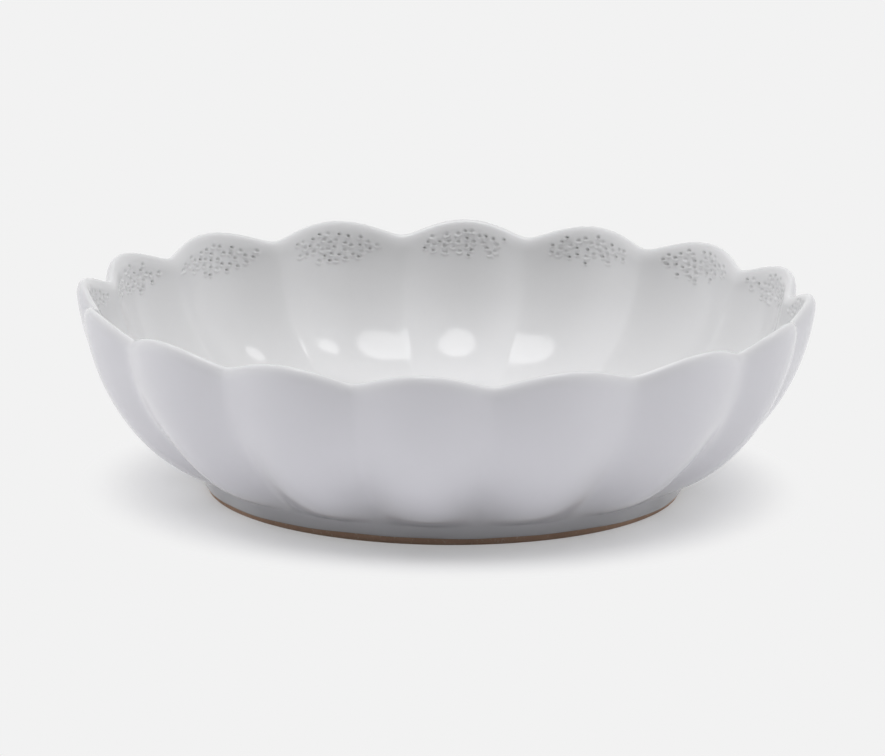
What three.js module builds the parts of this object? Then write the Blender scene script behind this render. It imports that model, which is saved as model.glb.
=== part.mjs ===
// A scalloped serving bowl in white-glazed stoneware. Millimetres, +Z up, origin on the table under the centre.
// A clay bowl with sixteen petals stands on a luted clay foot ring. One glaze coat wraps both, from the floor
// over the lip down to a glaze line on the ring, and a second coat covers the underside inside the ring.

import * as THREE from "three";

// Driving dimensions, in millimetres, with angles in degrees.
const PETAL_COUNT = 16;
const RIM_DIAMETER = 250; // over the glaze, from a petal to the opposite one
const HEIGHT = 67.5; // from the table to the top of a petal
const SCALLOP_DROP = 4.8; // how far the lip dips at a crease
const LIP_BULGE = 5.8; // how far a petal stands out from its creases at the lip
const FLUTE_BULGE = 9; // the same for the inside curve's handle at the floor
const LIP_SOFTNESS = 0.14; // rounding of the creases inside and at the lip, where 0 is a sharp fold
const BELLY_SOFTNESS = 0.36; // the same outside, just above the foot
const WALL_THICKNESS = 4.8; // over the glaze, and the width of the rounded lip
const RIM_LEAN = 8; // wall from upright at the lip
const LIP_EASE = 3; // how much further down the lip rounds over inside
const OUTER_RIM_HANDLE = 25; // how far that lean carries down the outside
const INNER_RIM_HANDLE = 24.5; // how far it carries down the inside
const BELLY_RISE = 19; // a petal above level where it leaves the foot
const BELLY_HANDLE = 25; // how far that slope carries out along the petal
const CREASE_RISE = 43; // a crease above level where it leaves the foot
const CREASE_HANDLE = 15.5; // how far that slope carries out along the crease
const FLOOR_DIAMETER = 108; // flat of the floor inside
const FLOOR_THICKNESS = 5.4; // clay alone
const FLOOR_HANDLE = 46; // how far the level of the floor carries into the wall
const FOOT_DIAMETER = 160; // bare clay just above the standing edge
const FOOT_HEIGHT = 7; // ring from the table to its joint with the bowl
const FOOT_WIDTH = 7.5; // ring across its bare band
const FOOT_FLARE = 1.5; // how far each side of the ring spreads from the table to the joint
const FOOT_BEVEL = 0.8; // softened standing edge
const BARE_BAND = 2.4; // unglazed clay left above the table
const GLAZE_THICKNESS = 0.6;

// Facets: columns round each petal and steps along each stretch of the section.
const COLUMNS_PER_PETAL = 6;
const INNER_WALL_STEPS = 7;
const LIP_STEPS = 4;
const OUTER_WALL_STEPS = 7;

const CLAY = new THREE.MeshStandardMaterial({ color: 0x9a7762, roughness: 0.9, metalness: 0 });
const GLAZE = new THREE.MeshStandardMaterial({ color: 0xe4e4e8, roughness: 0.16, metalness: 0 });

const COLUMN_COUNT = PETAL_COUNT * COLUMNS_PER_PETAL;

/** A point of a section: x is the distance from the bowl's axis, y the height above the table. */
const at = (radius, height) => new THREE.Vector2(radius, height);

/** A step of the given length, at an angle above level in degrees. */
function step(length, degrees) {
  const angle = THREE.MathUtils.degToRad(degrees);
  return at(length * Math.cos(angle), length * Math.sin(angle));
}

/**
 * How far a petal stands out at an angle round the bowl: 1 on its centre line and 0 in a crease.
 * The wave's fold at the crease is rounded by the softness.
 */
function petalWave(angle, softness) {
  const rounded = (wave) => Math.hypot(wave, softness);
  const wave = Math.cos((PETAL_COUNT * angle) / 2);
  return (rounded(wave) - softness) / (rounded(1) - softness);
}

// Foot ring: its two sides lean apart from the bare band up to the joint.
const footOuterSide = (height) => FOOT_DIAMETER / 2 + (FOOT_FLARE * height) / FOOT_HEIGHT;
const footInnerSide = (height) => FOOT_DIAMETER / 2 - FOOT_WIDTH - (FOOT_FLARE * height) / FOOT_HEIGHT;

/**
 * Section of the clay bowl, from the middle of its floor up the inside, over the lip and down to the foot joint.
 * standOut is 1 through the middle of a petal and 0 through a crease.
 */
function claySection(standOut) {
  const crease = 1 - standOut;
  const lipRadius = WALL_THICKNESS / 2 - GLAZE_THICKNESS;
  const lipCentre = at(
    (RIM_DIAMETER - WALL_THICKNESS) / 2 - crease * LIP_BULGE,
    HEIGHT - WALL_THICKNESS / 2 - crease * SCALLOP_DROP,
  );
  const lipPoint = (turn) => {
    const ease = turn < 0.5 ? LIP_EASE * (1 - Math.sin(Math.PI * turn)) : 0;
    const onCircle = lipCentre.clone().add(step(lipRadius, 180 - RIM_LEAN - 180 * turn));
    return onCircle.sub(step(ease, 90 - RIM_LEAN));
  };
  const lip = Array.from({ length: LIP_STEPS + 1 }, (_, i) => lipPoint(i / LIP_STEPS));
  const innerLip = lip[0];
  const outerLip = lip[LIP_STEPS];
  const floorEdge = at(FLOOR_DIAMETER / 2, FOOT_HEIGHT + FLOOR_THICKNESS);
  const footJoint = at(footOuterSide(FOOT_HEIGHT), FOOT_HEIGHT);
  const petalHandle = step(BELLY_HANDLE, BELLY_RISE);
  const creaseHandle = step(CREASE_HANDLE, CREASE_RISE);

  const innerWall = new THREE.CubicBezierCurve(
    floorEdge,
    floorEdge.clone().add(at(FLOOR_HANDLE - crease * FLUTE_BULGE, 0)),
    innerLip.clone().sub(step(INNER_RIM_HANDLE, 90 - RIM_LEAN)),
    innerLip,
  );
  const outerWall = new THREE.CubicBezierCurve(
    outerLip,
    outerLip.clone().sub(step(OUTER_RIM_HANDLE, 90 - RIM_LEAN)),
    footJoint.clone().add(creaseHandle.lerp(petalHandle, standOut)),
    footJoint,
  );
  return [
    at(0, floorEdge.y),
    ...innerWall.getPoints(INNER_WALL_STEPS),
    ...lip.slice(1),
    ...outerWall.getPoints(OUTER_WALL_STEPS).slice(1),
  ];
}

/** Softness of the creases at each point of the clay bowl's section. */
function creaseSoftness() {
  const soften = (_, i) => THREE.MathUtils.lerp(LIP_SOFTNESS, BELLY_SOFTNESS, (i + 1) / OUTER_WALL_STEPS);
  return [
    ...Array(2 + INNER_WALL_STEPS + LIP_STEPS).fill(LIP_SOFTNESS),
    ...Array.from({ length: OUTER_WALL_STEPS }, soften),
  ];
}

/** Moves a section's points outwards by a coat's thickness. The outside lies to the left of its run. */
function coated(section, thickness) {
  const normals = section.slice(1).map((point, i) => {
    const run = point.clone().sub(section[i]).normalize();
    return at(-run.y, run.x);
  });
  return section.map((point, i) => {
    const before = normals[Math.max(i - 1, 0)];
    const after = normals[Math.min(i, normals.length - 1)];
    const mitre = before.clone().add(after).normalize();
    return point.clone().addScaledVector(mitre, thickness / mitre.dot(after));
  });
}

/** The glazed stretch of the bowl's outside: its section carried on down the ring to the glaze line. */
const glazedSection = (section) => [...section, at(footOuterSide(BARE_BAND), BARE_BAND)];

/**
 * Closed solid swept round the axis. Its section is a loop, or starts and ends on the axis, and it passes from the
 * crease section to the petal section and back with the petal wave, which has its own softness at each point of
 * the section. The outside lies to the left of the run.
 * Each quad is split along its shorter diagonal, so two solids that share a stretch of section share its facets.
 */
function sweep(petalSection, creaseSection = petalSection, softness = petalSection.map(() => 1)) {
  const points = [];
  const rows = petalSection.map((onPetal, i) => {
    const first = points.length;
    const columns = onPetal.x === 0 ? 1 : COLUMN_COUNT;
    for (let column = 0; column < columns; column++) {
      const angle = (2 * Math.PI * column) / COLUMN_COUNT;
      const { x: radius, y: height } = creaseSection[i].clone().lerp(onPetal, petalWave(angle, softness[i]));
      points.push(new THREE.Vector3(radius * Math.cos(angle), radius * Math.sin(angle), height));
    }
    return (column) => first + (column % columns);
  });

  const triangles = [];
  const strips = petalSection[0].x === 0 ? rows.length - 1 : rows.length;
  for (let i = 0; i < strips; i++) {
    const here = rows[i];
    const next = rows[(i + 1) % rows.length];
    for (let column = 0; column < COLUMN_COUNT; column++) {
      const [a, b, c, d] = [here(column), next(column), next(column + 1), here(column + 1)];
      const alongAC = points[a].distanceTo(points[c]) < points[b].distanceTo(points[d]);
      const halves = alongAC ? [[a, b, c], [a, c, d]] : [[a, b, d], [b, c, d]];
      triangles.push(...halves.filter((half) => new Set(half).size === 3).flat());
    }
  }
  const geometry = new THREE.BufferGeometry().setFromPoints(points);
  geometry.setIndex(triangles);
  geometry.computeVertexNormals();
  return geometry;
}

/** Fired clay bowl: floor, petal wall and lip, with a flat underside that the ring is luted to. */
function clayBowl() {
  const closed = (section) => [...section, at(0, FOOT_HEIGHT)];
  return sweep(closed(claySection(1)), closed(claySection(0)), [...creaseSoftness(), 1]);
}

/** Fired clay ring under the bowl, bare round its standing edge. */
function footRing() {
  return sweep([
    at(footInnerSide(FOOT_HEIGHT), FOOT_HEIGHT),
    at(footOuterSide(FOOT_HEIGHT), FOOT_HEIGHT),
    at(footOuterSide(BARE_BAND), BARE_BAND),
    at(footOuterSide(FOOT_BEVEL), FOOT_BEVEL),
    at(FOOT_DIAMETER / 2 - FOOT_BEVEL, 0),
    at(FOOT_DIAMETER / 2 - FOOT_WIDTH + FOOT_BEVEL, 0),
    at(footInnerSide(FOOT_BEVEL), FOOT_BEVEL),
    at(footInnerSide(BARE_BAND), BARE_BAND),
  ]);
}

/** White glaze over the floor, petals and lip, and down the outside to the glaze line on the ring. */
function glazeCoat() {
  const coat = (standOut) => {
    const clay = glazedSection(claySection(standOut));
    return [...coated(clay, GLAZE_THICKNESS), ...clay.reverse()];
  };
  const softness = [...creaseSoftness(), BELLY_SOFTNESS];
  return sweep(coat(1), coat(0), [...softness, ...softness.toReversed()]);
}

/** White glaze over the underside, inside the ring. */
function baseGlaze() {
  const clay = [
    at(footInnerSide(BARE_BAND), BARE_BAND),
    at(footInnerSide(FOOT_HEIGHT), FOOT_HEIGHT),
    at(0, FOOT_HEIGHT),
  ];
  const face = coated(clay, GLAZE_THICKNESS);
  return sweep([...clay.reverse(), ...face]);
}

const bowl = new THREE.Group();
bowl.name = "serving_bowl";
const pieces = [
  ["clay_bowl", clayBowl(), CLAY],
  ["foot_ring", footRing(), CLAY],
  ["glaze_coat", glazeCoat(), GLAZE],
  ["base_glaze", baseGlaze(), GLAZE],
];
for (const [name, geometry, material] of pieces) {
  const piece = new THREE.Mesh(geometry, material);
  piece.name = name;
  bowl.add(piece);
}

export default bowl;
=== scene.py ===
"""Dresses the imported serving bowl: glazed petals with pricked patches, a bare clay foot and a pale studio."""

import logging
import math
from collections.abc import Iterable, Mapping, Sequence
from dataclasses import dataclass
from enum import Enum

import bpy
from mathutils import Matrix, Vector


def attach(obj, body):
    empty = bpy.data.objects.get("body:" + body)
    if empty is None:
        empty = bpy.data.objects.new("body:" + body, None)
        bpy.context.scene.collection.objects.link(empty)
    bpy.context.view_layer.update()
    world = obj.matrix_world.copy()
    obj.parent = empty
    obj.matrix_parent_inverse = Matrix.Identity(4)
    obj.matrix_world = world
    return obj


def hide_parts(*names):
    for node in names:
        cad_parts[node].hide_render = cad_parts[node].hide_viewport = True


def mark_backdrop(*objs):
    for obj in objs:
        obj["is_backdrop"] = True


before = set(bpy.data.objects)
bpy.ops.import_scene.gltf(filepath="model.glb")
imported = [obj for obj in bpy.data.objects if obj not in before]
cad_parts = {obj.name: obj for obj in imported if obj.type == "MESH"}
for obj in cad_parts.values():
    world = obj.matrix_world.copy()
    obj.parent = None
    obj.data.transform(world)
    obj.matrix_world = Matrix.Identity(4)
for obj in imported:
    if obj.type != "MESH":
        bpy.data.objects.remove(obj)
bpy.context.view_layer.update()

log = logging.getLogger("serving_bowl")

MM = 0.001
BODY = "root"

# What a row says of its distance below the lip where no pit may be.
FAR_FROM_LIP = 1.0

# The attribute for painted shade: how far the bottom of a deep pit is darkened towards a dark brown.
PAINTED_PIT_SHADE = "painted_pit_shade"

# Waves of the glaze line round the foot: their shares of its height, their counts and their phases.
FOOT_WAVES = ((0.7, 2, -math.pi / 2), (0.2, 7, 2.1), (0.1, 19, 0.0))

CLEAR_LIGHT = "#FDFDFD"
COOL_LIGHT = "#F1F1F4"

MATH = "ShaderNodeMath"
VECTOR_MATH = "ShaderNodeVectorMath"
MAP_RANGE = "ShaderNodeMapRange"
NOISE = "ShaderNodeTexNoise"
ATTRIBUTE = "GeometryNodeInputNamedAttribute"


class Slot(Enum):
    """The record's material slots."""

    STONEWARE = "stoneware"
    WHITE_GLAZE = "white_glaze"


class Line(Enum):
    """The two lines that the bowl's section is drawn through, by how far a petal stands out there."""

    CREASE = 0.0
    PETAL = 1.0


def linear(hex_colour: str) -> tuple[float, float, float, float]:
    """Turns an sRGB colour into Blender's linear one.

    Args:
        hex_colour: Six hex digits after a hash.

    Returns:
        Linear red, green and blue, with full alpha.
    """
    channels = (int(hex_colour[i : i + 2], 16) / 255 for i in (1, 3, 5))
    red, green, blue = (c / 12.92 if c <= 0.04045 else ((c + 0.055) / 1.055) ** 2.4 for c in channels)
    return red, green, blue, 1.0


def add_node(
    tree: bpy.types.NodeTree,
    kind: str,
    inputs: Mapping[str | int, object] | None = None,
    **settings: object,
) -> bpy.types.Node:
    """Adds a node with its settings, and gives each named input a value or a link.

    Args:
        tree: The tree that the node goes into.
        kind: Blender's name for the node's type.
        inputs: Values, sockets, or nodes whose first output in use is linked, by input name or number.
        settings: The node's own properties.

    Returns:
        The new node.
    """
    node = tree.nodes.new(kind)
    for name, value in settings.items():
        setattr(node, name, value)
    for key, value in (inputs or {}).items():
        if isinstance(value, bpy.types.Node):
            value = next(socket for socket in value.outputs if socket.enabled)
        if isinstance(value, bpy.types.NodeSocket):
            tree.links.new(value, node.inputs[key])
        else:
            node.inputs[key].default_value = value
    return node


def seen_rays(tree: bpy.types.NodeTree) -> bpy.types.Node:
    """Adds nodes that are 1 for rays that show a surface to the camera, straight, reflected or through glass.

    Args:
        tree: The tree that the nodes go into.

    Returns:
        The last node.
    """
    path = add_node(tree, "ShaderNodeLightPath").outputs
    seen = add_node(tree, MATH, {0: path["Is Camera Ray"], 1: path["Is Glossy Ray"]}, operation="MAXIMUM")
    return add_node(tree, MATH, {0: seen, 1: path["Is Transmission Ray"]}, operation="MAXIMUM")


@dataclass(frozen=True)
class WhiteGlaze:
    """Glossy white stoneware glaze, poured and fired: a deep smooth gloss with faint clouds and ripples, and
    painted shade in its deep pits.
    """

    name: str = "white_stoneware_glaze"
    full_colour: str = "#ECECEC"
    thin_colour: str = "#E7E7E7"
    painted_pit_shade_colour: str = "#4A4038"
    cloud_size: float = 38 * MM
    cloud_detail: float = 3.0
    ripple_size: float = 11 * MM
    ripple_detail: float = 2.0
    ripple_height: float = 0.05 * MM
    ripple_strength: float = 0.6
    ripple_low: float = 0.3
    ripple_high: float = 0.7
    smoothest: float = 0.07
    roughest: float = 0.15
    refraction: float = 1.54

    def material(self) -> bpy.types.Material:
        """Makes the glaze's material.

        Returns:
            A new material on Object coordinates.
        """
        material = bpy.data.materials.new(self.name)
        material.use_nodes = True
        tree = material.node_tree
        place = add_node(tree, "ShaderNodeTexCoord").outputs["Object"]
        clouds = add_node(
            tree,
            NOISE,
            {"Vector": place, "Scale": 1 / self.cloud_size, "Detail": self.cloud_detail},
        )
        colour = add_node(
            tree,
            "ShaderNodeMix",
            {0: clouds, 6: linear(self.full_colour), 7: linear(self.thin_colour)},
            data_type="RGBA",
        )
        # Painted shade: the bottoms of deep pits are darkened towards a dark brown.
        bare = add_node(tree, "ShaderNodeAttribute", attribute_name=PAINTED_PIT_SHADE).outputs["Fac"]
        colour = add_node(
            tree,
            "ShaderNodeMix",
            {0: bare, 6: colour.outputs[2], 7: linear(self.painted_pit_shade_colour)},
            data_type="RGBA",
        )
        ripples = add_node(
            tree,
            NOISE,
            {"Vector": place, "Scale": 1 / self.ripple_size, "Detail": self.ripple_detail},
        )
        gloss = add_node(
            tree,
            MAP_RANGE,
            {
                "Value": ripples,
                "From Min": self.ripple_low,
                "From Max": self.ripple_high,
                "To Min": self.smoothest,
                "To Max": self.roughest,
            },
        )
        bump = add_node(
            tree,
            "ShaderNodeBump",
            {"Strength": self.ripple_strength, "Distance": self.ripple_height, "Height": ripples},
        )
        shader = tree.nodes["Principled BSDF"]
        shader.inputs["IOR"].default_value = self.refraction
        tree.links.new(colour.outputs[2], shader.inputs["Base Color"])
        tree.links.new(gloss.outputs[0], shader.inputs["Roughness"])
        tree.links.new(bump.outputs[0], shader.inputs["Normal"])
        return material


@dataclass(frozen=True)
class BareStoneware:
    """Unglazed fired stoneware, wiped with a sponge: a dry light brown clay with grog and a sandy surface."""

    name: str = "bare_stoneware_clay"
    clay_colour: str = "#E0BCA2"
    burnt_colour: str = "#CBA68C"
    grog_colour: str = "#EBD8C7"
    patch_size: float = 9 * MM
    patch_detail: float = 4.0
    grog_size: float = 0.7 * MM
    grog_detail: float = 2.0
    speck_start: float = 0.6
    speck_full: float = 0.72
    speck_strength: float = 0.8
    grain_height: float = 0.06 * MM
    grain_strength: float = 0.8
    smoothest: float = 0.78
    roughest: float = 0.88

    def material(self) -> bpy.types.Material:
        """Makes the clay's material.

        Returns:
            A new material on Object coordinates.
        """
        material = bpy.data.materials.new(self.name)
        material.use_nodes = True
        tree = material.node_tree
        place = add_node(tree, "ShaderNodeTexCoord").outputs["Object"]
        patches = add_node(
            tree,
            NOISE,
            {"Vector": place, "Scale": 1 / self.patch_size, "Detail": self.patch_detail},
        )
        body = add_node(
            tree,
            "ShaderNodeMix",
            {0: patches, 6: linear(self.clay_colour), 7: linear(self.burnt_colour)},
            data_type="RGBA",
        )
        grog = add_node(
            tree,
            NOISE,
            {"Vector": place, "Scale": 1 / self.grog_size, "Detail": self.grog_detail},
        )
        specks = add_node(
            tree,
            MAP_RANGE,
            {
                "Value": grog,
                "From Min": self.speck_start,
                "From Max": self.speck_full,
                "To Max": self.speck_strength,
            },
        )
        colour = add_node(
            tree,
            "ShaderNodeMix",
            {0: specks, 6: body.outputs[2], 7: linear(self.grog_colour)},
            data_type="RGBA",
        )
        dryness = add_node(
            tree,
            MAP_RANGE,
            {"Value": grog, "To Min": self.smoothest, "To Max": self.roughest},
        )
        bump = add_node(
            tree,
            "ShaderNodeBump",
            {"Strength": self.grain_strength, "Distance": self.grain_height, "Height": grog},
        )
        shader = tree.nodes["Principled BSDF"]
        tree.links.new(colour.outputs[2], shader.inputs["Base Color"])
        tree.links.new(dryness.outputs[0], shader.inputs["Roughness"])
        tree.links.new(bump.outputs[0], shader.inputs["Normal"])
        return material


@dataclass(frozen=True)
class Bend:
    """A cubic curve in the plane of radius and height. The open side lies to the left of its run."""

    start: Vector
    start_handle: Vector
    end_handle: Vector
    end: Vector
    samples: int = 400

    def at(self, t: float) -> Vector:
        """The point a share t of the way along the curve's parameter."""
        s = 1 - t
        return (
            s**3 * self.start
            + 3 * s * s * t * self.start_handle
            + 3 * s * t * t * self.end_handle
            + t**3 * self.end
        )

    def open_side(self, t: float) -> Vector:
        """The unit normal on the left of the run."""
        s = 1 - t
        run = (
            s * s * (self.start_handle - self.start)
            + 2 * s * t * (self.end_handle - self.start_handle)
            + t * t * (self.end - self.end_handle)
        ).normalized()
        return Vector((-run.y, run.x))

    def lengths(self) -> list[float]:
        """Lengths along the curve at evenly spaced parameters."""
        total = [0.0]
        for i in range(self.samples):
            step = self.at((i + 1) / self.samples) - self.at(i / self.samples)
            total.append(total[-1] + step.length)
        return total

    def parameters(self, distances: Iterable[float]) -> list[float]:
        """Parameters of the points at given distances along the curve.

        Args:
            distances: Distances from the curve's start, in metres.

        Returns:
            One parameter for each distance.
        """
        lengths = self.lengths()
        found = []
        for distance in distances:
            i = 0
            while i < self.samples - 1 and lengths[i + 1] < distance:
                i += 1
            share = (distance - lengths[i]) / (lengths[i + 1] - lengths[i])
            found.append(min(max((i + share) / self.samples, 0.0), 1.0))
        return found


@dataclass(frozen=True)
class Section:
    """The clay's outline through a petal or a crease, in the plane of radius and height."""

    flute: Bend
    lip_centre: Vector
    belly: Bend


@dataclass(frozen=True)
class Row:
    """One ring of a turned piece's vertices."""

    crease: Vector
    petal: Vector
    softness: float = 1.0
    below_lip: float = FAR_FROM_LIP
    fine: bool = False
    wander: float = 0.0


@dataclass(frozen=True)
class BowlForm:
    """The bowl's sizes, with a rounder lip and finer creases than the part's source, and its outlines."""

    petals: int = 16
    rim_diameter: float = 250 * MM
    height: float = 67.5 * MM
    scallop_drop: float = 4.8 * MM
    lip_bulge: float = 4.7 * MM
    flute_bulge: float = 12 * MM
    flute_softness: float = 0.08
    lip_softness: float = 0.27
    belly_softness: float = 0.4
    wall: float = 4.8 * MM
    rim_lean: float = math.radians(8)
    lip_ease: float = 3 * MM
    lip_shoulder: float = 2.2 * MM
    lip_fullness: float = 2.15
    outer_rim_handle: float = 25 * MM
    inner_rim_handle: float = 24.5 * MM
    belly_rise: float = math.radians(19)
    belly_handle: float = 25 * MM
    crease_rise: float = math.radians(43)
    crease_handle: float = 15.5 * MM
    floor_diameter: float = 108 * MM
    floor_thickness: float = 5.4 * MM
    floor_handle: float = 46 * MM
    foot_diameter: float = 160 * MM
    foot_height: float = 7 * MM
    foot_width: float = 7.5 * MM
    foot_flare: float = 1.5 * MM
    foot_bevel: float = 0.8 * MM
    bare_band: float = 1.9 * MM
    glaze: float = 0.6 * MM

    def foot_outside(self, height: float) -> Vector:
        """A point of the clay ring's outer side."""
        return Vector((self.foot_diameter / 2 + self.foot_flare * height / self.foot_height, height))

    def foot_inside(self, height: float) -> Vector:
        """A point of the clay ring's inner side."""
        return Vector((self.foot_outside(-height).x - self.foot_width, height))

    def up_the_wall(self) -> Vector:
        """The way up the wall at the lip."""
        return Vector((math.sin(self.rim_lean), math.cos(self.rim_lean)))

    def lip_side(self, turn: float, radius: float) -> Vector:
        """A step from the lip's centre to its face.

        Args:
            turn: Where on the face, from 0 at its inner side over its top to 1 at its outer side.
            radius: Half the lip's width.

        Returns:
            The step, which reaches further down at the two sides than an oval does.
        """
        angle = math.pi - self.rim_lean - turn * math.pi
        power = self.lip_fullness
        powers = abs(math.cos(math.pi * turn)) ** power + abs(math.sin(math.pi * turn)) ** power
        on_oval = radius * powers ** (-1 / power) * Vector((math.cos(angle), math.sin(angle)))
        ease = self.lip_ease if turn < 0.5 else self.lip_shoulder
        return on_oval - ease * (1 - math.sin(math.pi * turn)) * self.up_the_wall()

    def softness_outside(self, down: float) -> float:
        """How rounded the creases are a share of the way down the outside, where 0 is a sharp fold."""
        return self.lip_softness + down * (self.belly_softness - self.lip_softness)

    def softness_inside(self, up: float) -> float:
        """How rounded they are a share of the way up the inside."""
        return self.flute_softness + up**3 * (self.lip_softness - self.flute_softness)

    def section(self, line: Line) -> Section:
        """Draws the clay's outline.

        Args:
            line: Through a petal or through a crease.

        Returns:
            The outline's curves.
        """
        crease = 1 - line.value
        lip_centre = Vector((
            (self.rim_diameter - self.wall) / 2 - crease * self.lip_bulge,
            self.height - self.wall / 2 - crease * self.scallop_drop,
        ))
        clay_lip = self.wall / 2 - self.glaze
        inner_lip = lip_centre + self.lip_side(0, clay_lip)
        outer_lip = lip_centre + self.lip_side(1, clay_lip)
        floor_edge = Vector((self.floor_diameter / 2, self.foot_height + self.floor_thickness))
        joint = self.foot_outside(self.foot_height)
        rise = self.belly_rise if line is Line.PETAL else self.crease_rise
        reach = self.belly_handle if line is Line.PETAL else self.crease_handle
        off_the_foot = Vector((math.cos(rise), math.sin(rise)))
        flute = Bend(
            floor_edge,
            floor_edge + Vector((self.floor_handle - crease * self.flute_bulge, 0)),
            inner_lip - self.inner_rim_handle * self.up_the_wall(),
            inner_lip,
        )
        belly = Bend(
            outer_lip,
            outer_lip - self.outer_rim_handle * self.up_the_wall(),
            joint + reach * off_the_foot,
            joint,
        )
        return Section(flute, lip_centre, belly)


@dataclass(frozen=True)
class Columns:
    """How each petal is divided into columns, close at its creases and finest over its pricked patch."""

    petals: int
    crease_share: float = 0.11
    crease_columns: int = 5
    patch_columns: int = 5
    patch_splits: int = 9
    crowding: float = 1.5

    def edges(self) -> list[float]:
        """The columns' edges round the whole bowl, as angles, with the first one repeated at the end."""
        steps = [i / self.crease_columns for i in range(self.crease_columns)]
        close = [self.crease_share * step**self.crowding for step in steps]
        rest = 0.5 - self.crease_share
        even = [self.crease_share + rest * i / self.patch_columns for i in range(self.patch_columns)]
        half = close + even
        petal = half + [0.5] + [1 - share for share in reversed(half[1:])]
        pitch = 2 * math.pi / self.petals
        return [(k - 0.5 + share) * pitch for k in range(self.petals) for share in petal] + [
            (self.petals - 0.5) * pitch
        ]

    def splits(self) -> list[int]:
        """How many fine columns each column has where the pricked band crosses it."""
        crease = [1] * self.crease_columns
        patch = [self.patch_splits] * (2 * self.patch_columns)
        return (crease + patch + crease) * self.petals


def uneven(angle: float, height: float) -> float:
    """A small slow rise and fall round the foot, of the given greatest height."""
    return height * sum(share * math.sin(count * angle + start) for share, count, start in FOOT_WAVES)


def cove_point(start: Vector, corner: Vector, end: Vector, t: float) -> Vector:
    """The point a share t of the way along a soft curve that rounds off a corner."""
    return (1 - t) ** 2 * start + 2 * t * (1 - t) * corner + t * t * end


def turned_piece(name: str, rows: Sequence[Row], columns: Columns) -> bpy.types.Object:
    """Turns rows of points round the axis into a closed mesh, which is round until its petals are pressed.

    A section that starts on the axis also ends there, and any other closes on its first row.

    Args:
        name: The piece's name.
        rows: Its section, with the open side to the left of the run.
        columns: The division round the bowl.

    Returns:
        The new object, whose points carry how far they stand out in a petal and lie below the lip.
    """
    edges = columns.edges()
    splits = columns.splits()
    points: list[tuple[float, float, float]] = []
    stand_out: list[float] = []
    softness: list[float] = []
    below_lip: list[float] = []
    rings: list[list[list[int]]] = []
    for row in rows:
        radius, height = row.crease
        step = row.petal - row.crease
        ring: list[list[int]] = []
        if radius == 0:
            ring = [[len(points)]] * len(splits)
            angles = [0.0]
        else:
            angles = []
            for column, count in enumerate(splits):
                shares = count if row.fine else 1
                first = len(points) + len(angles)
                ring.append(list(range(first, first + shares)))
                width = (edges[column + 1] - edges[column]) / shares
                angles += [edges[column] + width * i for i in range(shares)]
        for angle in angles:
            lift = uneven(angle, row.wander)
            points.append((radius * math.cos(angle), radius * math.sin(angle), height + lift))
            stand_out += (step.x, 0.0, step.y)
            softness.append(row.softness)
            below_lip.append(row.below_lip)
        rings.append(ring)

    faces: list[tuple[int, ...]] = []
    closes_on_itself = rows[0].crease.x > 0
    for i in range(len(rows) if closes_on_itself else len(rows) - 1):
        here = rings[i]
        following = rings[(i + 1) % len(rings)]
        for column in range(len(splits)):
            after = (column + 1) % len(splits)
            near = here[column] + here[after][:1]
            far = following[column] + following[after][:1]
            if len(near) == len(far):
                corners = zip(near, far, far[1:], near[1:])
            else:
                corners = [(near[0], *far, *reversed(near[1:]))]
            faces += [tuple(dict.fromkeys(face)) for face in corners]

    mesh = bpy.data.meshes.new(name)
    mesh.from_pydata(points, [], faces)
    mesh.attributes.new("stand_out", "FLOAT_VECTOR", "POINT").data.foreach_set("vector", stand_out)
    mesh.attributes.new("softness", "FLOAT", "POINT").data.foreach_set("value", softness)
    mesh.attributes.new("below_lip", "FLOAT", "POINT").data.foreach_set("value", below_lip)
    mesh.shade_smooth()
    piece = bpy.data.objects.new(name, mesh)
    bpy.context.collection.objects.link(piece)
    return piece


class Recipe:
    """A geometry node tree with named inputs, which is run on a piece and leaves a plain mesh."""

    def __init__(self, name: str, sizes: Mapping[str, float | int]) -> None:
        """Starts the tree.

        Args:
            name: The tree's name.
            sizes: Its named inputs and their values.
        """
        self.sizes = sizes
        self.tree = bpy.data.node_groups.new(name, "GeometryNodeTree")
        self.tree.interface.new_socket("Geometry", in_out="INPUT", socket_type="NodeSocketGeometry")
        self.tree.interface.new_socket("Geometry", in_out="OUTPUT", socket_type="NodeSocketGeometry")
        for size, value in sizes.items():
            kind = "NodeSocketInt" if isinstance(value, int) else "NodeSocketFloat"
            self.tree.interface.new_socket(size, in_out="INPUT", socket_type=kind)
        self.tree.interface.new_socket("Finish", in_out="INPUT", socket_type="NodeSocketMaterial")
        self.given = add_node(self.tree, "NodeGroupInput").outputs

    def end(self, geometry: bpy.types.Node) -> None:
        """Realizes the geometry, gives it the finish and hands it out of the tree."""
        real = add_node(self.tree, "GeometryNodeRealizeInstances", {"Geometry": geometry})
        finish = {"Geometry": real, "Material": self.given["Finish"]}
        dressed = add_node(self.tree, "GeometryNodeSetMaterial", finish)
        add_node(self.tree, "NodeGroupOutput", {"Geometry": dressed})

    def run(self, piece: bpy.types.Object, finish: bpy.types.Material) -> None:
        """Runs the tree on a piece and keeps the result as its mesh.

        Args:
            piece: The object to work on.
            finish: The material it gets.
        """
        modifier = piece.modifiers.new(self.tree.name, "NODES")
        modifier.node_group = self.tree
        values = {**self.sizes, "Finish": finish}
        for item in self.tree.interface.items_tree:
            if item.in_out == "INPUT" and item.name in values:
                modifier[item.identifier] = values[item.name]
        made = piece.evaluated_get(bpy.context.evaluated_depsgraph_get())
        raw = piece.data
        mesh = bpy.data.meshes.new_from_object(made)
        piece.modifiers.remove(modifier)
        piece.data = mesh
        bpy.data.meshes.remove(raw)
        mesh.name = piece.name


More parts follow.
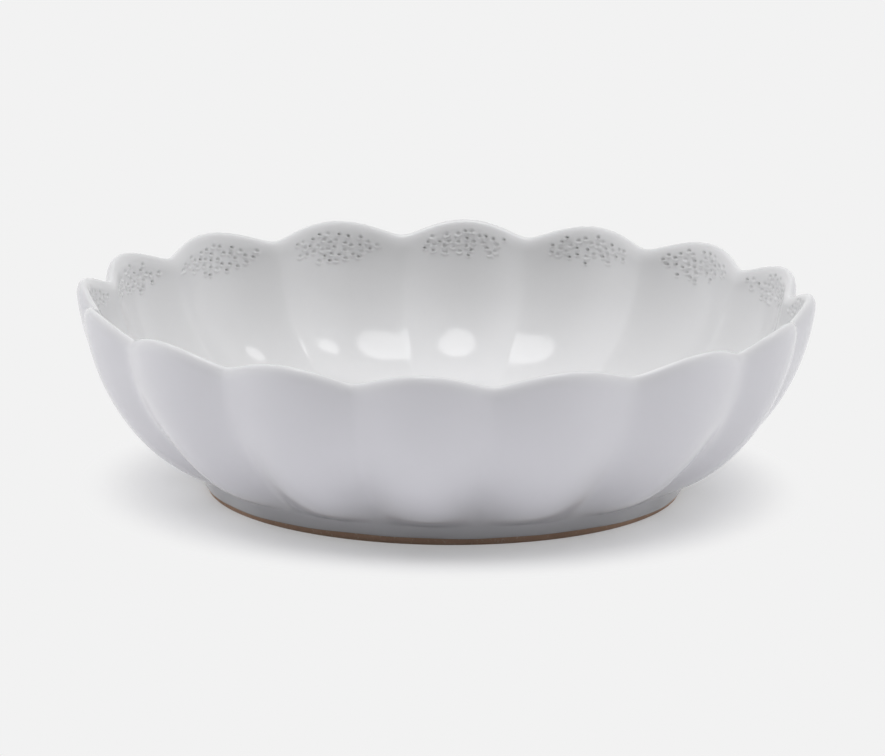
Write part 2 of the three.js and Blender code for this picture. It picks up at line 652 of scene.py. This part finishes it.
def petal_recipe(form: BowlForm) -> Recipe:
    """Builds the tree that presses petals out of a round wall.

    Args:
        form: The bowl's sizes.

    Returns:
        A recipe that moves each point by its stand_out, as the petal wave says.
    """
    recipe = Recipe("press_petals", {"Petals": form.petals})
    tree = recipe.tree
    softness = add_node(tree, ATTRIBUTE, {"Name": "softness"})
    place = add_node(tree, "GeometryNodeInputPosition")
    parts = add_node(tree, "ShaderNodeSeparateXYZ", {0: place}).outputs
    angle = add_node(tree, MATH, {0: parts["Y"], 1: parts["X"]}, operation="ARCTAN2")
    turns = add_node(tree, MATH, {0: angle, 1: recipe.given["Petals"]}, operation="MULTIPLY")
    half = add_node(tree, MATH, {0: turns, 1: 0.5}, operation="MULTIPLY")
    wave = add_node(tree, MATH, {0: half}, operation="COSINE")

    # The wave folds sharply at a crease, so it is rounded there and scaled back to run from 0 to 1.
    softness_squared = add_node(tree, MATH, {0: softness, 1: softness}, operation="MULTIPLY")
    wave_squared = add_node(tree, MATH, {0: wave, 1: wave, 2: softness_squared}, operation="MULTIPLY_ADD")
    rounded = add_node(tree, MATH, {0: wave_squared}, operation="SQRT")
    lifted = add_node(tree, MATH, {0: rounded, 1: softness}, operation="SUBTRACT")
    top_squared = add_node(tree, MATH, {0: softness_squared, 1: 1.0}, operation="ADD")
    top = add_node(tree, MATH, {0: top_squared}, operation="SQRT")
    span = add_node(tree, MATH, {0: top, 1: softness}, operation="SUBTRACT")
    petal = add_node(tree, MATH, {0: lifted, 1: span}, operation="DIVIDE")

    stand_out = add_node(tree, ATTRIBUTE, {"Name": "stand_out"}, data_type="FLOAT_VECTOR")
    step = add_node(tree, VECTOR_MATH, {0: stand_out, "Scale": petal}, operation="SCALE")
    out = add_node(tree, "ShaderNodeSeparateXYZ", {0: step}).outputs
    cosine = add_node(tree, MATH, {0: angle}, operation="COSINE")
    sine = add_node(tree, MATH, {0: angle}, operation="SINE")
    out_x = add_node(tree, MATH, {0: out["X"], 1: cosine}, operation="MULTIPLY")
    out_y = add_node(tree, MATH, {0: out["X"], 1: sine}, operation="MULTIPLY")
    offset = add_node(tree, "ShaderNodeCombineXYZ", {"X": out_x, "Y": out_y, "Z": out["Z"]})
    pressed = add_node(
        tree,
        "GeometryNodeSetPosition",
        {"Geometry": recipe.given["Geometry"], "Offset": offset},
    )
    recipe.end(pressed)
    return recipe


@dataclass(frozen=True)
class PrickedPatch:
    """The half-moon patch of pricked pits inside each petal, just under the lip."""

    petals: int
    width: float = 36 * MM
    height: float = 11.2 * MM
    top: float = 4.1 * MM
    fullness: float = 0.6
    ragged_edge: float = 2.4 * MM
    clean_edge: float = 0.3 * MM
    drift: float = 1.1 * MM
    drift_start: float = math.radians(30)
    spacing: float = 2.2 * MM
    tries: float = 3.0
    narrowest: float = 1.2 * MM
    widest: float = 1.9 * MM
    shallowest: float = 0.55 * MM
    deepest: float = 1.2 * MM
    filling: float = 0.7
    flatness: float = 1.2
    tear_size: float = 1.3 * MM
    tear_detail: float = 1.0
    tear_depth: float = 0.25
    burr: float = 0.5 * MM
    seed: int = 7

    # Shares of a pit's radius: distances from its middle, and heights over it for the ramp and the burr.
    wall_top: float = 1.12
    wall_foot: float = 0.4
    ramp_foot: float = -1.1
    ramp_top: float = 0.4
    burr_inside: float = 0.6
    burr_crest: float = 1.0
    burr_outside: float = 2.0
    burr_starts: float = -0.1
    burr_full: float = -0.8

    def recipe(self) -> Recipe:
        """Builds the tree that scatters pits over the patches and sinks them into the glaze.

        Returns:
            A recipe for a mesh that carries its points' distances below the lip.
        """
        recipe = Recipe(
            "prick_pits",
            {
                "Petals": self.petals,
                "Patch Width": self.width,
                "Patch Height": self.height,
                "Patch Top": self.top,
                "Patch Drift": self.drift,
                "Pit Spacing": self.spacing,
                "Narrowest": self.narrowest,
                "Widest": self.widest,
                "Shallowest": self.shallowest,
                "Deepest": self.deepest,
                "Burr": self.burr,
                "Seed": self.seed,
            },
        )
        tree, given = recipe.tree, recipe.given
        place = add_node(tree, "GeometryNodeInputPosition")
        parts = add_node(tree, "ShaderNodeSeparateXYZ", {0: place}).outputs

        # Distance across the petal from its centre line, as a share of the patch's half width.
        angle = add_node(tree, MATH, {0: parts["Y"], 1: parts["X"]}, operation="ARCTAN2")
        pitch = add_node(tree, MATH, {0: 2 * math.pi, 1: given["Petals"]}, operation="DIVIDE")
        turns = add_node(tree, MATH, {0: angle, 1: pitch}, operation="DIVIDE")
        nearest = add_node(tree, MATH, {0: turns}, operation="ROUND")
        off_centre = add_node(tree, MATH, {0: turns, 1: nearest}, operation="SUBTRACT")
        flat = add_node(tree, "ShaderNodeCombineXYZ", {"X": parts["X"], "Y": parts["Y"]})
        radius = add_node(tree, VECTOR_MATH, {0: flat}, operation="LENGTH")
        arc = add_node(tree, MATH, {0: off_centre, 1: pitch}, operation="MULTIPLY")
        across = add_node(tree, MATH, {0: arc, 1: radius}, operation="MULTIPLY")
        half_width = add_node(tree, MATH, {0: given["Patch Width"], 1: 0.5}, operation="MULTIPLY")
        share = add_node(tree, MATH, {0: across, 1: half_width}, operation="DIVIDE")

        # The patch is a half moon: full height on the centre line, and none at its ends.
        share_squared = add_node(tree, MATH, {0: share, 1: share}, operation="MULTIPLY")
        left = add_node(tree, MATH, {0: 1.0, 1: share_squared}, operation="SUBTRACT", use_clamp=True)
        moon = add_node(tree, MATH, {0: left, 1: self.fullness}, operation="POWER")
        bottom = add_node(tree, MATH, {0: moon, 1: given["Patch Height"]}, operation="MULTIPLY")

        # It drifts up and down a little round the bowl, and thins out towards its lower edge.
        below_lip = add_node(tree, ATTRIBUTE, {"Name": "below_lip"})
        side = add_node(tree, MATH, {0: angle, 1: self.drift_start}, operation="ADD")
        swing = add_node(tree, MATH, {0: side}, operation="COSINE")
        drift = add_node(tree, MATH, {0: swing, 1: given["Patch Drift"]}, operation="MULTIPLY")
        drifted = add_node(tree, MATH, {0: drift, 1: below_lip}, operation="ADD")
        below_top = add_node(tree, MATH, {0: drifted, 1: given["Patch Top"]}, operation="SUBTRACT")
        to_bottom = add_node(tree, MATH, {0: bottom, 1: below_top}, operation="SUBTRACT")
        over_bottom = add_node(tree, MAP_RANGE, {"Value": to_bottom, "From Max": self.ragged_edge})
        under_top = add_node(tree, MAP_RANGE, {"Value": below_top, "From Max": self.clean_edge})
        density = add_node(tree, MATH, {0: over_bottom, 1: under_top}, operation="MULTIPLY")

        pits = add_node(
            tree,
            "GeometryNodeDistributePointsOnFaces",
            {
                "Mesh": given["Geometry"],
                "Distance Min": given["Pit Spacing"],
                "Density Max": self.tries / self.spacing**2,
                "Density Factor": density,
                "Seed": given["Seed"],
            },
            distribute_method="POISSON",
        ).outputs["Points"]
        own_pit = add_node(tree, "GeometryNodeSampleNearest", {"Geometry": pits, "Sample Position": place})
        centre = add_node(
            tree,
            "GeometryNodeSampleIndex",
            {"Geometry": pits, "Value": add_node(tree, "GeometryNodeInputPosition"), "Index": own_pit},
            data_type="FLOAT_VECTOR",
        )

        # Most pits are wide shallow dimples that glaze ran into, and a few narrow ones stayed deep.
        luck = add_node(tree, "FunctionNodeRandomValue", {"ID": own_pit, "Seed": given["Seed"]})
        filled = add_node(tree, MATH, {0: luck, 1: self.filling}, operation="POWER")
        size = add_node(
            tree,
            MAP_RANGE,
            {"Value": filled, "To Min": given["Narrowest"], "To Max": given["Widest"]},
        )
        depth = add_node(
            tree,
            MAP_RANGE,
            {"Value": filled, "To Min": given["Deepest"], "To Max": given["Shallowest"]},
        )
        pit_radius = add_node(tree, MATH, {0: size, 1: 0.5}, operation="MULTIPLY")

        # A pit is a little wider than tall, and its outline is uneven.
        away = add_node(tree, VECTOR_MATH, {0: place, 1: centre}, operation="SUBTRACT")
        squashed = add_node(tree, VECTOR_MATH, {0: away, 1: (1.0, 1.0, self.flatness)}, operation="MULTIPLY")
        distance = add_node(tree, VECTOR_MATH, {0: squashed}, operation="LENGTH")
        tears = add_node(
            tree,
            NOISE,
            {"Vector": place, "Scale": 1 / self.tear_size, "Detail": self.tear_detail},
        )
        tear = add_node(
            tree,
            MAP_RANGE,
            {"Value": tears, "To Min": 1 - self.tear_depth, "To Max": 1 + self.tear_depth},
        )
        torn = add_node(tree, MATH, {0: distance, 1: tear}, operation="MULTIPLY")
        reach = add_node(tree, MATH, {0: torn, 1: pit_radius}, operation="DIVIDE")
        hollow = add_node(
            tree,
            MAP_RANGE,
            {"Value": reach, "From Min": self.wall_top, "From Max": self.wall_foot},
            interpolation_type="SMOOTHSTEP",
        )

        # It is pricked slantwise: steep above, with a ramp below that ends in a soft burr.
        upwards = add_node(tree, "ShaderNodeSeparateXYZ", {0: away}).outputs["Z"]
        height = add_node(tree, MATH, {0: upwards, 1: pit_radius}, operation="DIVIDE")
        ramp = add_node(
            tree,
            MAP_RANGE,
            {"Value": height, "From Min": self.ramp_foot, "From Max": self.ramp_top},
        )
        slanted = add_node(tree, MATH, {0: hollow, 1: ramp}, operation="MULTIPLY")
        sunk = add_node(tree, MATH, {0: slanted, 1: depth}, operation="MULTIPLY")
        under = add_node(
            tree,
            MAP_RANGE,
            {"Value": height, "From Min": self.burr_starts, "From Max": self.burr_full},
        )
        over_edge = add_node(
            tree,
            MAP_RANGE,
            {"Value": reach, "From Min": self.burr_inside, "From Max": self.burr_crest},
            interpolation_type="SMOOTHSTEP",
        )
        off_edge = add_node(
            tree,
            MAP_RANGE,
            {
                "Value": reach,
                "From Min": self.burr_outside,
                "From Max": self.burr_crest,
                "To Max": given["Burr"],
            },
            interpolation_type="SMOOTHSTEP",
        )
        edge = add_node(tree, MATH, {0: over_edge, 1: off_edge}, operation="MULTIPLY")
        burr = add_node(tree, MATH, {0: edge, 1: under}, operation="MULTIPLY")
        rise = add_node(tree, MATH, {0: burr, 1: sunk}, operation="SUBTRACT")
        face = add_node(tree, "GeometryNodeInputNormal")
        offset = add_node(tree, VECTOR_MATH, {0: face, "Scale": rise}, operation="SCALE")
        inside = add_node(tree, MATH, {0: below_lip, 1: FAR_FROM_LIP / 2}, operation="LESS_THAN")
        # Painted shade: the deeper a pit's bottom sinks, the darker the glaze's colour there.
        deep = add_node(
            tree,
            MAP_RANGE,
            {"Value": sunk, "From Min": given["Shallowest"], "From Max": given["Deepest"]},
        )
        bare = add_node(tree, MATH, {0: deep, 1: inside}, operation="MULTIPLY")
        marked = add_node(
            tree,
            "GeometryNodeStoreNamedAttribute",
            {"Geometry": given["Geometry"], "Name": PAINTED_PIT_SHADE, "Value": bare},
        )
        pricked = add_node(
            tree,
            "GeometryNodeSetPosition",
            {"Geometry": marked, "Selection": inside, "Offset": offset},
        )
        recipe.end(pricked)
        return recipe


@dataclass(frozen=True)
class HandShaping:
    """What pressing by hand leaves uneven: petals that differ in width, and a rim that rises and falls."""

    height: float
    slow_shift: float = math.radians(0.68)
    slow_waves: int = 2
    slow_start: float = 2.9
    quick_shift: float = math.radians(0.86)
    quick_waves: int = 4
    quick_start: float = -2.81
    rim_lift: float = 0.2 * MM
    rim_warp: float = 0.85 * MM
    rim_waves: int = 2
    rim_start: float = math.pi / 2

    def swing(
        self,
        tree: bpy.types.NodeTree,
        angle: bpy.types.Node,
        waves: int,
        start: float,
        size: bpy.types.NodeSocket,
    ) -> bpy.types.Node:
        """Adds nodes for a wave round the bowl.

        Args:
            tree: The tree that the nodes go into.
            angle: The angle round the bowl.
            waves: How many waves there are.
            start: The wave's phase, in radians.
            size: The socket with its greatest height.

        Returns:
            The last node.
        """
        phase = add_node(tree, MATH, {0: angle, 1: waves, 2: start}, operation="MULTIPLY_ADD")
        wave = add_node(tree, MATH, {0: phase}, operation="SINE")
        return add_node(tree, MATH, {0: wave, 1: size}, operation="MULTIPLY")

    def recipe(self) -> Recipe:
        """Builds the tree that shifts petals round the bowl and warps its rim.

        Returns:
            A recipe for a piece whose petals are pressed.
        """
        recipe = Recipe(
            "shape_by_hand",
            {
                "Height": self.height,
                "Slow Shift": self.slow_shift,
                "Quick Shift": self.quick_shift,
                "Rim Lift": self.rim_lift,
                "Rim Warp": self.rim_warp,
            },
        )
        tree, given = recipe.tree, recipe.given
        place = add_node(tree, "GeometryNodeInputPosition")
        parts = add_node(tree, "ShaderNodeSeparateXYZ", {0: place}).outputs
        angle = add_node(tree, MATH, {0: parts["Y"], 1: parts["X"]}, operation="ARCTAN2")
        slow = self.swing(tree, angle, self.slow_waves, self.slow_start, given["Slow Shift"])
        quick = self.swing(tree, angle, self.quick_waves, self.quick_start, given["Quick Shift"])
        shift = add_node(tree, MATH, {0: slow, 1: quick}, operation="ADD")
        turned = add_node(
            tree,
            "ShaderNodeVectorRotate",
            {"Vector": place, "Angle": shift},
            rotation_type="Z_AXIS",
        )

        # The rim is lifted most, and the foot stays flat on the table.
        warp = self.swing(tree, angle, self.rim_waves, self.rim_start, given["Rim Warp"])
        lift = add_node(tree, MATH, {0: warp, 1: given["Rim Lift"]}, operation="ADD")
        up = add_node(tree, MATH, {0: parts["Z"], 1: given["Height"]}, operation="DIVIDE")
        up_squared = add_node(tree, MATH, {0: up, 1: up}, operation="MULTIPLY")
        rise = add_node(tree, MATH, {0: lift, 1: up_squared}, operation="MULTIPLY")
        offset = add_node(tree, "ShaderNodeCombineXYZ", {"Z": rise})
        moved = add_node(
            tree,
            "GeometryNodeSetPosition",
            {"Geometry": given["Geometry"], "Position": turned, "Offset": offset},
        )
        recipe.end(moved)
        return recipe


@dataclass(frozen=True)
class GlazedBody:
    """The clay bowl and the glaze coat over it, which share the clay's face."""

    form: BowlForm
    columns: Columns
    patch: PrickedPatch
    shaping: HandShaping
    flute_step: float = 3.2 * MM
    band_step: float = 0.4 * MM
    band_bottom: float = 17.4 * MM
    band_top: float = 0.24
    floor_rings: int = 4
    lip_steps: int = 12
    lip_samples: int = 40
    belly_step: float = 2.5 * MM
    cove_reach: float = 1.2 * MM
    cove_steps: int = 6
    bead: float = 0.9 * MM
    bead_steps: int = 6
    line_wander: float = 0.7 * MM
    clay_steps: int = 12
    pressed_clay: float = 1.1 * MM
    pressed_steps: int = 4

    def sections(self) -> tuple[Section, Section]:
        """The clay's outlines through a crease and through a petal."""
        return self.form.section(Line.CREASE), self.form.section(Line.PETAL)

    def below_lip(self, turn: float) -> float:
        """Length over the glazed lip from its top to a turn of its inner half."""
        turns = [turn + (0.5 - turn) * i / self.lip_samples for i in range(self.lip_samples + 1)]
        points = [self.form.lip_side(t, self.form.wall / 2) for t in turns]
        return sum((after - before).length for before, after in zip(points, points[1:]))

    def flute_rows(self, distances: Iterable[float], coat: float, fine: bool) -> list[Row]:
        """Rows up the inside of the wall.

        Args:
            distances: Distances up the petal's flute from the floor's edge.
            coat: How far the rows stand off the clay.
            fine: Whether they have the pricked band's columns.

        Returns:
            One row for each distance.
        """
        crease, petal = self.sections()
        full = petal.flute.lengths()[-1]
        rows = []
        for distance, t in zip(distances, petal.flute.parameters(distances)):
            low = crease.flute.at(t) + coat * crease.flute.open_side(t)
            high = petal.flute.at(t) + coat * petal.flute.open_side(t)
            below = self.below_lip(0) + full - distance if fine else FAR_FROM_LIP
            rows.append(Row(low, high, self.form.softness_inside(distance / full), below, fine))
        return rows

    def lip_rows(self, turns: Iterable[float], coat: float, fine: bool) -> list[Row]:
        """Rows over the rounded lip.

        Args:
            turns: Where they are, from 0 at its inner side to 1 at its outer side.
            coat: How far the rows stand off the clay.
            fine: Whether they have the pricked band's columns.

        Returns:
            One row for each turn.
        """
        crease, petal = self.sections()
        radius = self.form.wall / 2 - self.form.glaze + coat
        rows = []
        for turn in turns:
            side = self.form.lip_side(turn, radius)
            below = self.below_lip(turn) if fine else FAR_FROM_LIP
            low = crease.lip_centre + side
            high = petal.lip_centre + side
            rows.append(Row(low, high, self.form.lip_softness, below, fine))
        return rows

    def belly_rows(self, steps: int, coat: float, stop: float) -> list[Row]:
        """Rows down the outside of the wall.

        Args:
            steps: How many steps there are.
            coat: How far the rows stand off the clay.
            stop: How far short of the foot joint they stop.

        Returns:
            The rows, from the lip down.
        """
        crease, petal = self.sections()
        full = petal.belly.lengths()[-1] - stop
        rows = []
        for t in petal.belly.parameters([full * i / steps for i in range(steps + 1)]):
            low = crease.belly.at(t) + coat * crease.belly.open_side(t)
            high = petal.belly.at(t) + coat * petal.belly.open_side(t)
            rows.append(Row(low, high, self.form.softness_outside(t)))
        return rows

    def foot_face(self, height: float, coat: float) -> Vector:
        """A point on the ring's outer side or on the coat over it."""
        return self.form.foot_outside(height) + Vector((coat, 0))

    def face_rows(self) -> list[Row]:
        """The glaze's open face, from the middle of the floor over the lip to the glaze line on the ring."""
        form = self.form
        coat = form.glaze
        flute_length = self.sections()[1].flute.lengths()[-1]
        band_start = flute_length + self.below_lip(0) - self.band_bottom
        coarse = round(band_start / self.flute_step)
        fine = round((flute_length - band_start) / self.band_step)
        floor_level = form.foot_height + form.floor_thickness + coat
        rings = [form.floor_diameter / 2 * i / self.floor_rings for i in range(self.floor_rings)]
        rows = [Row(Vector((radius, floor_level)), Vector((radius, floor_level))) for radius in rings]
        rows += self.flute_rows([band_start * i / coarse for i in range(coarse)], coat, False)
        band = [band_start + (flute_length - band_start) * i / fine for i in range(fine + 1)]
        rows += self.flute_rows(band, coat, True)
        top = self.band_top
        fine = round((self.below_lip(0) - self.below_lip(top)) / self.band_step)
        rows += self.lip_rows([top * i / fine for i in range(1, fine + 1)], coat, True)
        over_lip = [top + (1 - top) * i / self.lip_steps for i in range(1, self.lip_steps)]
        rows += self.lip_rows(over_lip, coat, False)
        belly = self.sections()[1].belly.lengths()[-1]
        rows += self.belly_rows(round(belly / self.belly_step), coat, self.cove_reach)

        # The glaze lies in a soft cove between the belly and the ring.
        last = rows[-1]
        corner = self.foot_face(form.foot_height - coat, coat)
        foot_top = self.foot_face(form.foot_height - self.cove_reach, coat)
        for i in range(1, self.cove_steps):
            t = i / self.cove_steps
            ends = [cove_point(start, corner, foot_top, t) for start in (last.crease, last.petal)]
            rows.append(Row(*ends, form.belly_softness))

        # Its edge on the ring is a soft bead that wanders a little.
        for i in range(self.bead_steps + 1):
            up = 1 - i / self.bead_steps
            height = form.bare_band + self.bead * up**2
            thickness = coat * math.sqrt(1 - (1 - up**2) ** 2)
            edge = self.foot_face(height, thickness)
            rows.append(Row(edge, edge, wander=self.line_wander))
        return rows

    def clay_rows(self) -> list[Row]:
        """The clay's face, from the middle of the floor over the lip to the joint, set back at the pits."""
        form = self.form
        petal = self.sections()[1]
        floor_level = form.foot_height + form.floor_thickness
        rows = [Row(Vector((0, floor_level)), Vector((0, floor_level)))]
        length = petal.flute.lengths()[-1]
        start = length + self.below_lip(0) - self.band_bottom - self.flute_step
        rows += self.flute_rows([start * i / self.clay_steps for i in range(self.clay_steps)], 0.0, False)
        band = [start + (length - start) * i / self.pressed_steps for i in range(1, self.pressed_steps + 1)]
        rows += self.flute_rows(band, -self.pressed_clay, False)
        top = self.band_top
        steps = self.lip_steps // 2
        rows += self.lip_rows([top + (1 - top) * i / steps for i in range(steps)], 0.0, False)
        rows += self.belly_rows(self.clay_steps, 0.0, 0.0)
        return rows

    def build(self, glaze: bpy.types.Material, clay: bpy.types.Material) -> list[bpy.types.Object]:
        """Builds the clay bowl and its glaze coat.

        Args:
            glaze: The coat's material.
            clay: The clay's material.

        Returns:
            The two pieces.
        """
        press = petal_recipe(self.form)
        shape = self.shaping.recipe()
        under = Vector((0, self.form.foot_height))
        clay_rows = self.clay_rows()
        clay_bowl = turned_piece("stoneware_bowl", [*clay_rows, Row(under, under)], self.columns)
        press.run(clay_bowl, clay)
        shape.run(clay_bowl, clay)
        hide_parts("clay_bowl")

        coat = turned_piece("glaze_coat_fired", [*self.face_rows(), *reversed(clay_rows)], self.columns)
        press.run(coat, glaze)
        self.patch.recipe().run(coat, glaze)
        shape.run(coat, glaze)
        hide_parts("glaze_coat")
        return [clay_bowl, coat]


@dataclass(frozen=True)
class Foot:
    """The clay foot ring and the coat of glaze on the underside inside it."""

    form: BowlForm
    columns: Columns
    edge_steps: int = 5
    side_steps: int = 3
    bead_steps: int = 5
    bead: float = 0.9 * MM
    cove: float = 1.6 * MM
    face_rings: int = 5

    def edge(self, outer: bool) -> list[Vector]:
        """The rounded standing edge of one side of the ring, from its side down to the table."""
        radius = self.form.foot_bevel
        side = self.form.foot_outside if outer else self.form.foot_inside
        outwards = 1 if outer else -1
        centre = side(radius) - Vector((outwards * radius, 0))
        angles = [math.pi / 2 * i / self.edge_steps for i in range(self.edge_steps + 1)]
        return [centre + radius * Vector((outwards * math.cos(a), -math.sin(a))) for a in angles]

    def ring_rows(self) -> list[Row]:
        """The ring's section, as a loop."""
        form = self.form
        heights = [
            form.foot_height + (form.foot_bevel - form.foot_height) * i / self.side_steps
            for i in range(self.side_steps)
        ]
        outside = [form.foot_outside(height) for height in heights]
        inside = [form.foot_inside(height) for height in heights]
        loop = [*outside, *self.edge(True), *reversed(self.edge(False)), *reversed(inside)]
        return [Row(point, point) for point in loop]

    def base_rows(self) -> list[Row]:
        """The section of the coat under the bowl: its face on the clay, then its open face."""
        form = self.form
        top = form.foot_height
        coat = form.glaze
        clay = [Vector((0, top)), form.foot_inside(top), form.foot_inside(form.bare_band)]
        open_face = []
        for i in range(1, self.bead_steps + 1):
            up = i / self.bead_steps
            thickness = coat * math.sqrt(1 - (1 - up) ** 2)
            open_face.append(form.foot_inside(form.bare_band + self.bead * up) - Vector((thickness, 0)))
        start = open_face[-1]
        corner = form.foot_inside(top) - Vector((coat, coat))
        end = corner - Vector((self.cove, 0))
        for i in range(1, self.bead_steps + 1):
            t = i / self.bead_steps
            open_face.append(cove_point(start, corner, end, t))
        open_face += [
            Vector((end.x * (1 - i / self.face_rings), end.y)) for i in range(1, self.face_rings + 1)
        ]
        return [Row(point, point) for point in clay + open_face]

    def build(self, glaze: bpy.types.Material, clay: bpy.types.Material) -> list[bpy.types.Object]:
        """Builds the ring and the underside's glaze.

        Args:
            glaze: The coat's material.
            clay: The ring's material.

        Returns:
            The two pieces.
        """
        ring = turned_piece("stoneware_foot_ring", self.ring_rows(), self.columns)
        ring.data.materials.append(clay)
        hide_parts("foot_ring")
        base = turned_piece("base_glaze_fired", self.base_rows(), self.columns)
        base.data.materials.append(glaze)
        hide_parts("base_glaze")
        return [ring, base]


@dataclass(frozen=True)
class Softbox:
    """A broad far lamp: the way to it, its strength, how wide it looks, and whether gloss shows it."""

    name: str
    way: Vector
    strength: float
    spread: float
    colour: str
    mirrored: bool

    def hang(self) -> None:
        """Adds the lamp to the scene."""
        lamp = bpy.data.lights.new(self.name, "SUN")
        lamp.energy = self.strength
        lamp.angle = self.spread
        lamp.color = linear(self.colour)[:3]
        hung = bpy.data.objects.new(self.name, lamp)
        hung.visible_glossy = self.mirrored
        hung.rotation_euler = self.way.to_track_quat("Z", "Y").to_euler()
        bpy.context.collection.objects.link(hung)


@dataclass(frozen=True)
class Studio:
    """A plain pale floor, light from above, the sides and behind, and a camera at the photograph's angle."""

    paper_colour: str = "#F6F6F6"
    bounce_colour: str = "#F8F7FD"
    painted_shade_colour: str = "#BCBCBC"
    backdrop_colour: str = "#F2F2F2"
    floor_size: float = 12.0
    image_width: int = 885
    focal_pixels: float = 5847.0
    sensor: float = 36.0
    sight: float = 50.0
    distance: float = 1987.6 * MM
    elevation: float = math.radians(14.302)
    azimuth: float = math.radians(3.0)
    roll: float = math.radians(0.589)
    aim: Vector = Vector((-0.66 * MM, 0.0, 37.3 * MM))
    softboxes: tuple[Softbox, ...] = (
        Softbox("top_softbox", Vector((0.0, 0.0, 1.0)), 0.5, math.radians(28), CLEAR_LIGHT, True),
        Softbox("ceiling", Vector((0.0, 0.0, 1.0)), 0.4, math.radians(60), CLEAR_LIGHT, False),
        Softbox("left_softbox", Vector((-0.71, 0.0, 0.71)), 1.42, math.radians(40), COOL_LIGHT, False),
        Softbox("right_softbox", Vector((0.71, 0.0, 0.71)), 1.18, math.radians(40), COOL_LIGHT, False),
        Softbox("back_softbox", Vector((0.0, 0.7, 0.7)), 0.08, math.radians(50), COOL_LIGHT, False),
        Softbox("window", Vector((0.48, 0.3, 0.82)), 0.09, math.radians(12), CLEAR_LIGHT, True),
    )
    room_level: float = 0.098
    lifted_shadow: float = 0.34
    shadow_fades: float = 92 * MM
    shadow_ends: float = 124 * MM
    painted_shade_full: float = 82 * MM
    painted_shade_ends: float = 104 * MM

    def paper(self) -> bpy.types.Material:
        """Makes the floor's material.

        Returns:
            A matt white, which keeps the bowl's shadow close to its foot.
        """
        material = bpy.data.materials.new("matt_paper")
        material.use_nodes = True
        tree = material.node_tree
        tree.nodes.clear()
        seen = seen_rays(tree)
        place = add_node(tree, "ShaderNodeTexCoord").outputs["Object"]
        reach = add_node(tree, VECTOR_MATH, {0: place}, operation="LENGTH")

        # Painted shade: the rays that light the bowl meet a cooler paper, painted darker near the foot, which
        # throws less light back under it.
        close = add_node(
            tree,
            MAP_RANGE,
            {"Value": reach, "From Min": self.painted_shade_ends, "From Max": self.painted_shade_full},
            interpolation_type="SMOOTHSTEP",
        )
        thrown = add_node(
            tree,
            "ShaderNodeMix",
            {0: close, 6: linear(self.bounce_colour), 7: linear(self.painted_shade_colour)},
            data_type="RGBA",
        )
        colour = add_node(
            tree,
            "ShaderNodeMix",
            {0: seen, 6: thrown.outputs[2], 7: linear(self.paper_colour)},
            data_type="RGBA",
        )
        paper = add_node(tree, "ShaderNodeBsdfDiffuse", {"Color": colour.outputs[2]})
        pale = add_node(tree, "ShaderNodeEmission", {"Color": linear(self.backdrop_colour), "Strength": 1.0})

        # The shadow keeps close to the foot, and further out the floor shows as pale as the backdrop.
        fade = add_node(
            tree,
            MAP_RANGE,
            {
                "Value": reach,
                "From Min": self.shadow_fades,
                "From Max": self.shadow_ends,
                "To Min": self.lifted_shadow,
                "To Max": 1.0,
            },
            interpolation_type="SMOOTHSTEP",
        )
        lift = add_node(tree, MATH, {0: seen, 1: fade}, operation="MULTIPLY")
        shown = add_node(tree, "ShaderNodeMixShader", {0: lift, 1: paper, 2: pale})
        add_node(tree, "ShaderNodeOutputMaterial", {"Surface": shown})
        return material

    def floor(self) -> bpy.types.Object:
        """Lays the pale floor.

        Returns:
            Nothing; the floor is marked as no part of the bowl.
        """
        half = self.floor_size / 2
        corners = [(-half, -half, 0), (half, -half, 0), (half, half, 0), (-half, half, 0)]
        mesh = bpy.data.meshes.new("paper_floor")
        mesh.from_pydata(corners, [], [(0, 1, 2, 3)])
        mesh.materials.append(self.paper())
        floor = bpy.data.objects.new("paper_floor", mesh)
        bpy.context.collection.objects.link(floor)
        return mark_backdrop(floor)

    def light(self) -> None:
        """Hangs the softboxes in a dim room, whose walls show pale."""
        for softbox in self.softboxes:
            softbox.hang()
        world = bpy.data.worlds.new("pale_room")
        world.use_nodes = True
        bpy.context.scene.world = world
        tree = world.node_tree
        tree.nodes.clear()
        room = add_node(tree, "ShaderNodeBackground", {"Color": (1, 1, 1, 1), "Strength": self.room_level})
        backdrop = add_node(tree, "ShaderNodeBackground", {"Color": linear(self.backdrop_colour)})
        shown = add_node(tree, "ShaderNodeMixShader", {0: seen_rays(tree), 1: room, 2: backdrop})
        add_node(tree, "ShaderNodeOutputWorld", {"Surface": shown})

    def camera(self) -> None:
        """Stands the camera where the photograph was taken from."""
        lens = bpy.data.cameras.new("photo_camera")
        lens.sensor_fit = "HORIZONTAL"
        lens.sensor_width = self.sensor
        lens.lens = self.focal_pixels / self.image_width * self.sensor
        lens.clip_end = self.sight
        camera = bpy.data.objects.new("photo_camera", lens)
        flat = self.distance * math.cos(self.elevation)
        place = Vector((
            flat * math.sin(self.azimuth),
            -flat * math.cos(self.azimuth),
            self.distance * math.sin(self.elevation),
        ))
        facing = (self.aim - place).to_track_quat("-Z", "Y").to_matrix().to_4x4()
        camera.matrix_world = Matrix.Translation(place) @ facing @ Matrix.Rotation(self.roll, 4, "Z")
        bpy.context.collection.objects.link(camera)
        bpy.context.scene.camera = camera

    def build(self) -> None:
        """Sets up the floor, the light and the camera."""
        bpy.context.scene.view_settings.view_transform = "Standard"
        self.floor()
        self.light()
        self.camera()


def main() -> None:
    """Builds the studio and the bowl's pieces."""
    logging.basicConfig(level=logging.INFO, format="%(name)s: %(message)s")
    Studio().build()
    glaze = WhiteGlaze().material()
    clay = BareStoneware().material()
    form = BowlForm()
    columns = Columns(form.petals)
    body = GlazedBody(form, columns, PrickedPatch(form.petals), HandShaping(form.height))
    for piece in [*body.build(glaze, clay), *Foot(form, columns).build(glaze, clay)]:
        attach(piece, BODY)
        log.info("%s has %d faces", piece.name, len(piece.data.polygons))


if __name__ == "__main__":
    main()
